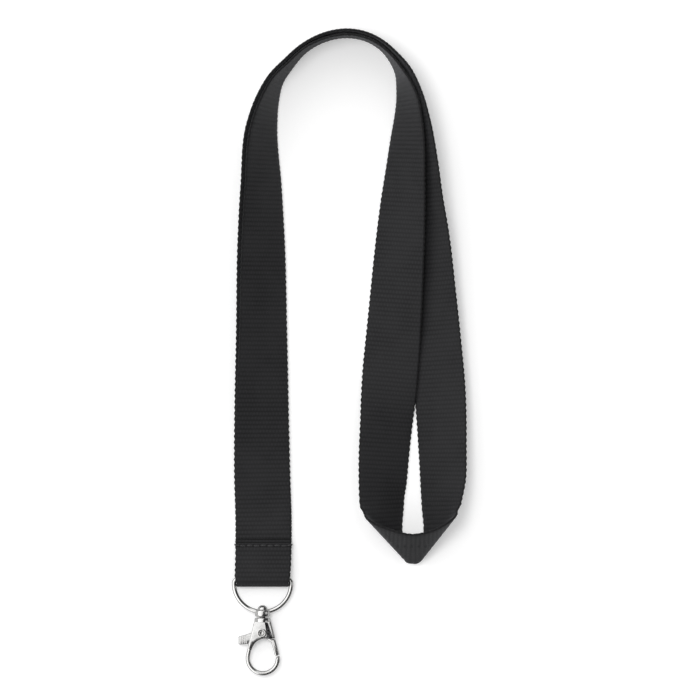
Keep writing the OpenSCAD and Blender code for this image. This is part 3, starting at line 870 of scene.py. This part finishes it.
def thread_material():
    material, n, shader = new_material("bonded_sewing_thread", Sheen_Weight=0.2)
    coords = n.add("ShaderNodeTexCoord")
    ply = use_group(n, TWIST, Vector=coords.outputs["UV"], Turns=1500.0, Slant=2390.0).outputs["Ply"]
    mottle = use_group(n, MOTTLING, Vector=coords.outputs["Object"], Patch_Scale=500.0,
                       Grain_Scale=9000.0)
    # Random patches and painted shade: the colour is darker in the grooves between the twisted plies,
    # lighter on the plies
    tone = n.math("MULTIPLY_ADD", mottle.outputs["Patches"], 0.3, n.math("MULTIPLY", ply, 0.7))
    colour = n.mix(tone, (0.009, 0.009, 0.0096, 1), (0.04, 0.04, 0.042, 1))
    n.tree.links.new(colour, shader.inputs["Base Color"])
    rough = n.math("MULTIPLY_ADD", mottle.outputs["Grain"], 0.2, 0.42)
    n.tree.links.new(rough, shader.inputs["Roughness"])
    n.tree.links.new(n.bump(ply, 0.8, 0.00006), shader.inputs["Normal"])
    return material


def metal_material(name, light, dark, gloss, scratches, grain, grain_scale=9000.0, painted_recess_shade=False):
    """Plated metal: two close tones in patches, hairline wear and the grain of the surface.
    The last switch paints shade into the hook's recess and its swivel groove: a dark mottled colour, dull
    and bumpy."""
    material, n, shader = new_material(name, Metallic=1.0)
    place = n.add("ShaderNodeTexCoord").outputs["Object"]
    mottle = use_group(n, MOTTLING, Vector=place, Patch_Scale=420.0, Grain_Scale=grain_scale)
    lines = use_group(n, HAIRLINES, Vector=place, Amount=scratches).outputs["Mask"]
    colour = n.mix(mottle.outputs["Patches"], light, dark)
    rough = n.math("MULTIPLY_ADD", mottle.outputs["Patches"], 0.06, gloss)
    rough = n.math("MULTIPLY_ADD", lines, 0.3, rough)
    height = n.math("MULTIPLY_ADD", lines, -0.5, n.math("MULTIPLY", mottle.outputs["Grain"], grain))
    if painted_recess_shade:
        # Painted shade in the recess and the groove: a dark mottled colour in place of the plated one,
        # also rougher and bumpier
        inside = recess_shade_mask(n, place)
        skin_and_shade_mottle = n.step(n.noise(place, 2600.0, 3.0, 0.6), 0.38, 0.66)
        colour = n.mix(inside, colour, n.mix(skin_and_shade_mottle, (0.035, 0.035, 0.037, 1), (0.42, 0.42, 0.43, 1)))
        rough = n.math("MULTIPLY_ADD", inside, 0.35, rough)
        height = n.math("MULTIPLY_ADD", n.math("MULTIPLY", inside, skin_and_shade_mottle), 2.5, height)
    n.tree.links.new(colour, shader.inputs["Base Color"])
    n.tree.links.new(rough, shader.inputs["Roughness"])
    n.tree.links.new(n.bump(height, 0.25, 0.00002), shader.inputs["Normal"])
    return material


def recess_shade_mask(n, place):
    """Painted shade: 1 inside the recess in the front and in the groove under the barrel."""
    to_mm = 1000.0
    shift = tuple(-c * to_mm for c in hook_point(0, 0))
    local = n.add("ShaderNodeMapping", {"Vector": place, "Location": shift,
                                        "Scale": (to_mm, to_mm, to_mm)}).outputs["Vector"]
    parts = n.add("ShaderNodeSeparateXYZ", {"Vector": local})
    x, y, z = (parts.outputs[k] for k in "XYZ")
    # The mask's right limit slants outwards, 0.314 for each millimetre down, beside the recess's wall
    slant = n.math("MULTIPLY_ADD", y, 0.314, x)
    recess = n.math("MULTIPLY", n.step(slant, 1.04, 1.16, 1.0, 0.0), n.step(x, 0.5, 0.7))
    recess = n.math("MULTIPLY", recess, n.step(z, 1.2, 2.1, 1.0, 0.0))
    recess = n.math("MULTIPLY", recess, n.step(z, -1.6, -1.4))
    recess = n.math("MULTIPLY", recess, n.step(y, -9.9, -9.7))
    recess = n.math("MULTIPLY", recess, n.step(y, -3.6, -3.4, 1.0, 0.0))
    groove = n.math("MULTIPLY", n.step(y, -2.2, -2.1), n.step(y, -1.7, -1.6, 1.0, 0.0))
    return n.math("MAXIMUM", recess, groove)


def dress(obj, material, body, slot, *nodes):
    obj.data.materials.clear()
    obj.data.materials.append(material)
    if nodes:
        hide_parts(*nodes)
        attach(obj, body)
    return obj


# ---- the object ----------------------------------------------------------------------------
thread_look = thread_material()
ring_look = metal_material("bright_nickel_wire", (0.9, 0.895, 0.885, 1), (0.8, 0.795, 0.785, 1),
                           gloss=0.07, scratches=0.25, grain=0.1)
hook_look = metal_material("nickel_plated_casting", (0.88, 0.878, 0.87, 1), (0.78, 0.775, 0.765, 1),
                           gloss=0.15, scratches=0.35, grain=0.3, grain_scale=5200.0, painted_recess_shade=True)
rivet_look = metal_material("nickel_plated_rivet", (0.8, 0.795, 0.785, 1), (0.62, 0.615, 0.605, 1),
                            gloss=0.16, scratches=0.3, grain=0.4)
spring_look = metal_material("spring_steel_wire", (0.5, 0.5, 0.5, 1), (0.32, 0.32, 0.33, 1),
                             gloss=0.3, scratches=0.5, grain=0.5)

strip, strip_length = make_webbing()
dress(strip, webbing_material(strip_length * MM), "strap", "webbing", "webbing")
knot_height = PLY_Z[1] + PLY_PITCH / 2
needle = make_stitches("needle_stitches", PLY_Z[3] + WEB_T / 2, -1, knot_height)
dress(needle, thread_look, "strap", "thread", "needle_thread")
bobbin = make_stitches("bobbin_stitches", BOBBIN_FACE_Z, 1, knot_height)
dress(bobbin, thread_look, "strap", "thread", "bobbin_thread")

dress(make_d_ring(), ring_look, "ring", "ring_nickel", "d_ring")
dress(make_swivel_eye(), hook_look, "eye", "hook_nickel", "swivel_eye")
dress(make_hook_body(), hook_look, "hook", "hook_nickel", "hook_body")
dress(make_trigger(), hook_look, "lever", "hook_nickel", "trigger")
dress(make_rivet(), rivet_look, "hook", "rivet_steel", "pivot_rivet")
dress(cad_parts["trigger_spring"], spring_look, "hook", "spring_steel")


# ---- floor and light -----------------------------------------------------------------------
def add_floor():
    bpy.ops.object.select_all(action="DESELECT")
    bpy.ops.mesh.primitive_plane_add(size=6, location=(0, 0, -0.0001))
    floor = bpy.context.active_object
    floor.name = "floor"
    """White paper that gives off a little light; in reflections it is greyer than it looks."""
    material, n, shader = new_material("floor_paper", Roughness=0.9)
    place = n.add("ShaderNodeTexCoord").outputs["Object"]
    tone = n.mix(n.noise(place, 30.0, 2.0), (0.9, 0.9, 0.9, 1), (0.92, 0.92, 0.92, 1))
    mirrored = n.add("ShaderNodeLightPath").outputs["Is Glossy Ray"]
    tone = n.mix(mirrored, tone, (0.42, 0.42, 0.42, 1))
    n.tree.links.new(tone, shader.inputs["Base Color"])
    n.tree.links.new(tone, shader.inputs["Emission Color"])
    shader.inputs["Specular IOR Level"].default_value = 0.1
    shader.inputs["Emission Strength"].default_value = 0.22
    floor.data.materials.append(material)


def add_light(name, place, size, power):
    data = bpy.data.lights.new(name, "AREA")
    data.shape, data.size, data.energy = "DISK", size, power
    light = bpy.data.objects.new(name, data)
    light.visible_glossy = False
    light.location = place
    light.rotation_euler = (-Vector(place)).to_track_quat("-Z", "Y").to_euler()
    bpy.context.scene.collection.objects.link(light)


def add_sky():
    """A light tent for glossy rays: bright on the left, dimmer on the right, with a wide dark gap
    on the right that a strip light crosses. Diffuse rays meet a softer tent, camera rays white."""
    world = bpy.data.worlds.new("light_tent")
    bpy.context.scene.world = world
    world.use_nodes = True
    tree = world.node_tree
    n = Nodes(tree)
    way = n.add("ShaderNodeTexCoord").outputs["Generated"]
    parts = n.add("ShaderNodeSeparateXYZ", {"Vector": way})
    x, y, z = (parts.outputs[k] for k in "XYZ")
    # In degrees: lean to the right of straight up, fall from straight up, and turn round it
    lean = n.math("DEGREES", n.math("ARCTAN2", x, z))
    fall = n.math("DEGREES", n.math("ARCCOSINE", z))
    turn = n.math("DEGREES", n.math("ARCTAN2", y, x))
    off_gap = n.math("ABSOLUTE", n.math("ADD", turn, 20.0))
    soft = n.math("MULTIPLY", n.step(lean, -75.0, 5.0, 1.5, 1.1), n.step(lean, 0.0, 62.0, 1.0, 0.72))
    soft = n.math("MULTIPLY", soft, n.step(y, -0.8, 0.8, 0.6, 1.4))
    rim = n.step(fall, 62.0, 72.0, 1.0, 0.3)
    gap = n.math("MULTIPLY", n.step(fall, 5.0, 10.0), n.step(fall, 100.0, 106.0, 1.0, 0.0))
    gap = n.math("MULTIPLY", gap, n.step(off_gap, 76.0, 88.0, 1.0, 0.0))
    strip_light = n.step(n.math("ABSOLUTE", turn), 6.0, 10.0, 0.75, 0.0)
    strip_light = n.math("MULTIPLY", strip_light, n.step(fall, 38.0, 44.0))
    gap = n.math("MULTIPLY", gap, n.math("SUBTRACT", 1.0, strip_light))
    tent = n.math("MULTIPLY", n.math("MULTIPLY", n.step(lean, -60.0, 0.0, 2.2, 1.36), rim),
                  n.math("MULTIPLY_ADD", gap, -0.97, 1.0))
    path = n.add("ShaderNodeLightPath").outputs
    level = n.mix(path["Is Glossy Ray"], soft, tent)
    level = n.mix(path["Is Camera Ray"], level, (1.0, 1.0, 1.0, 1))
    background = tree.nodes["Background"]
    tree.links.new(level, background.inputs["Color"])
    background.inputs["Strength"].default_value = 0.72


add_floor()
add_light("key_light", (-0.2, 0.12, 1.1), 0.35, 4.0)
add_sky()
bpy.context.scene.view_settings.view_transform = "Standard"
bpy.context.scene.view_settings.look = "None"
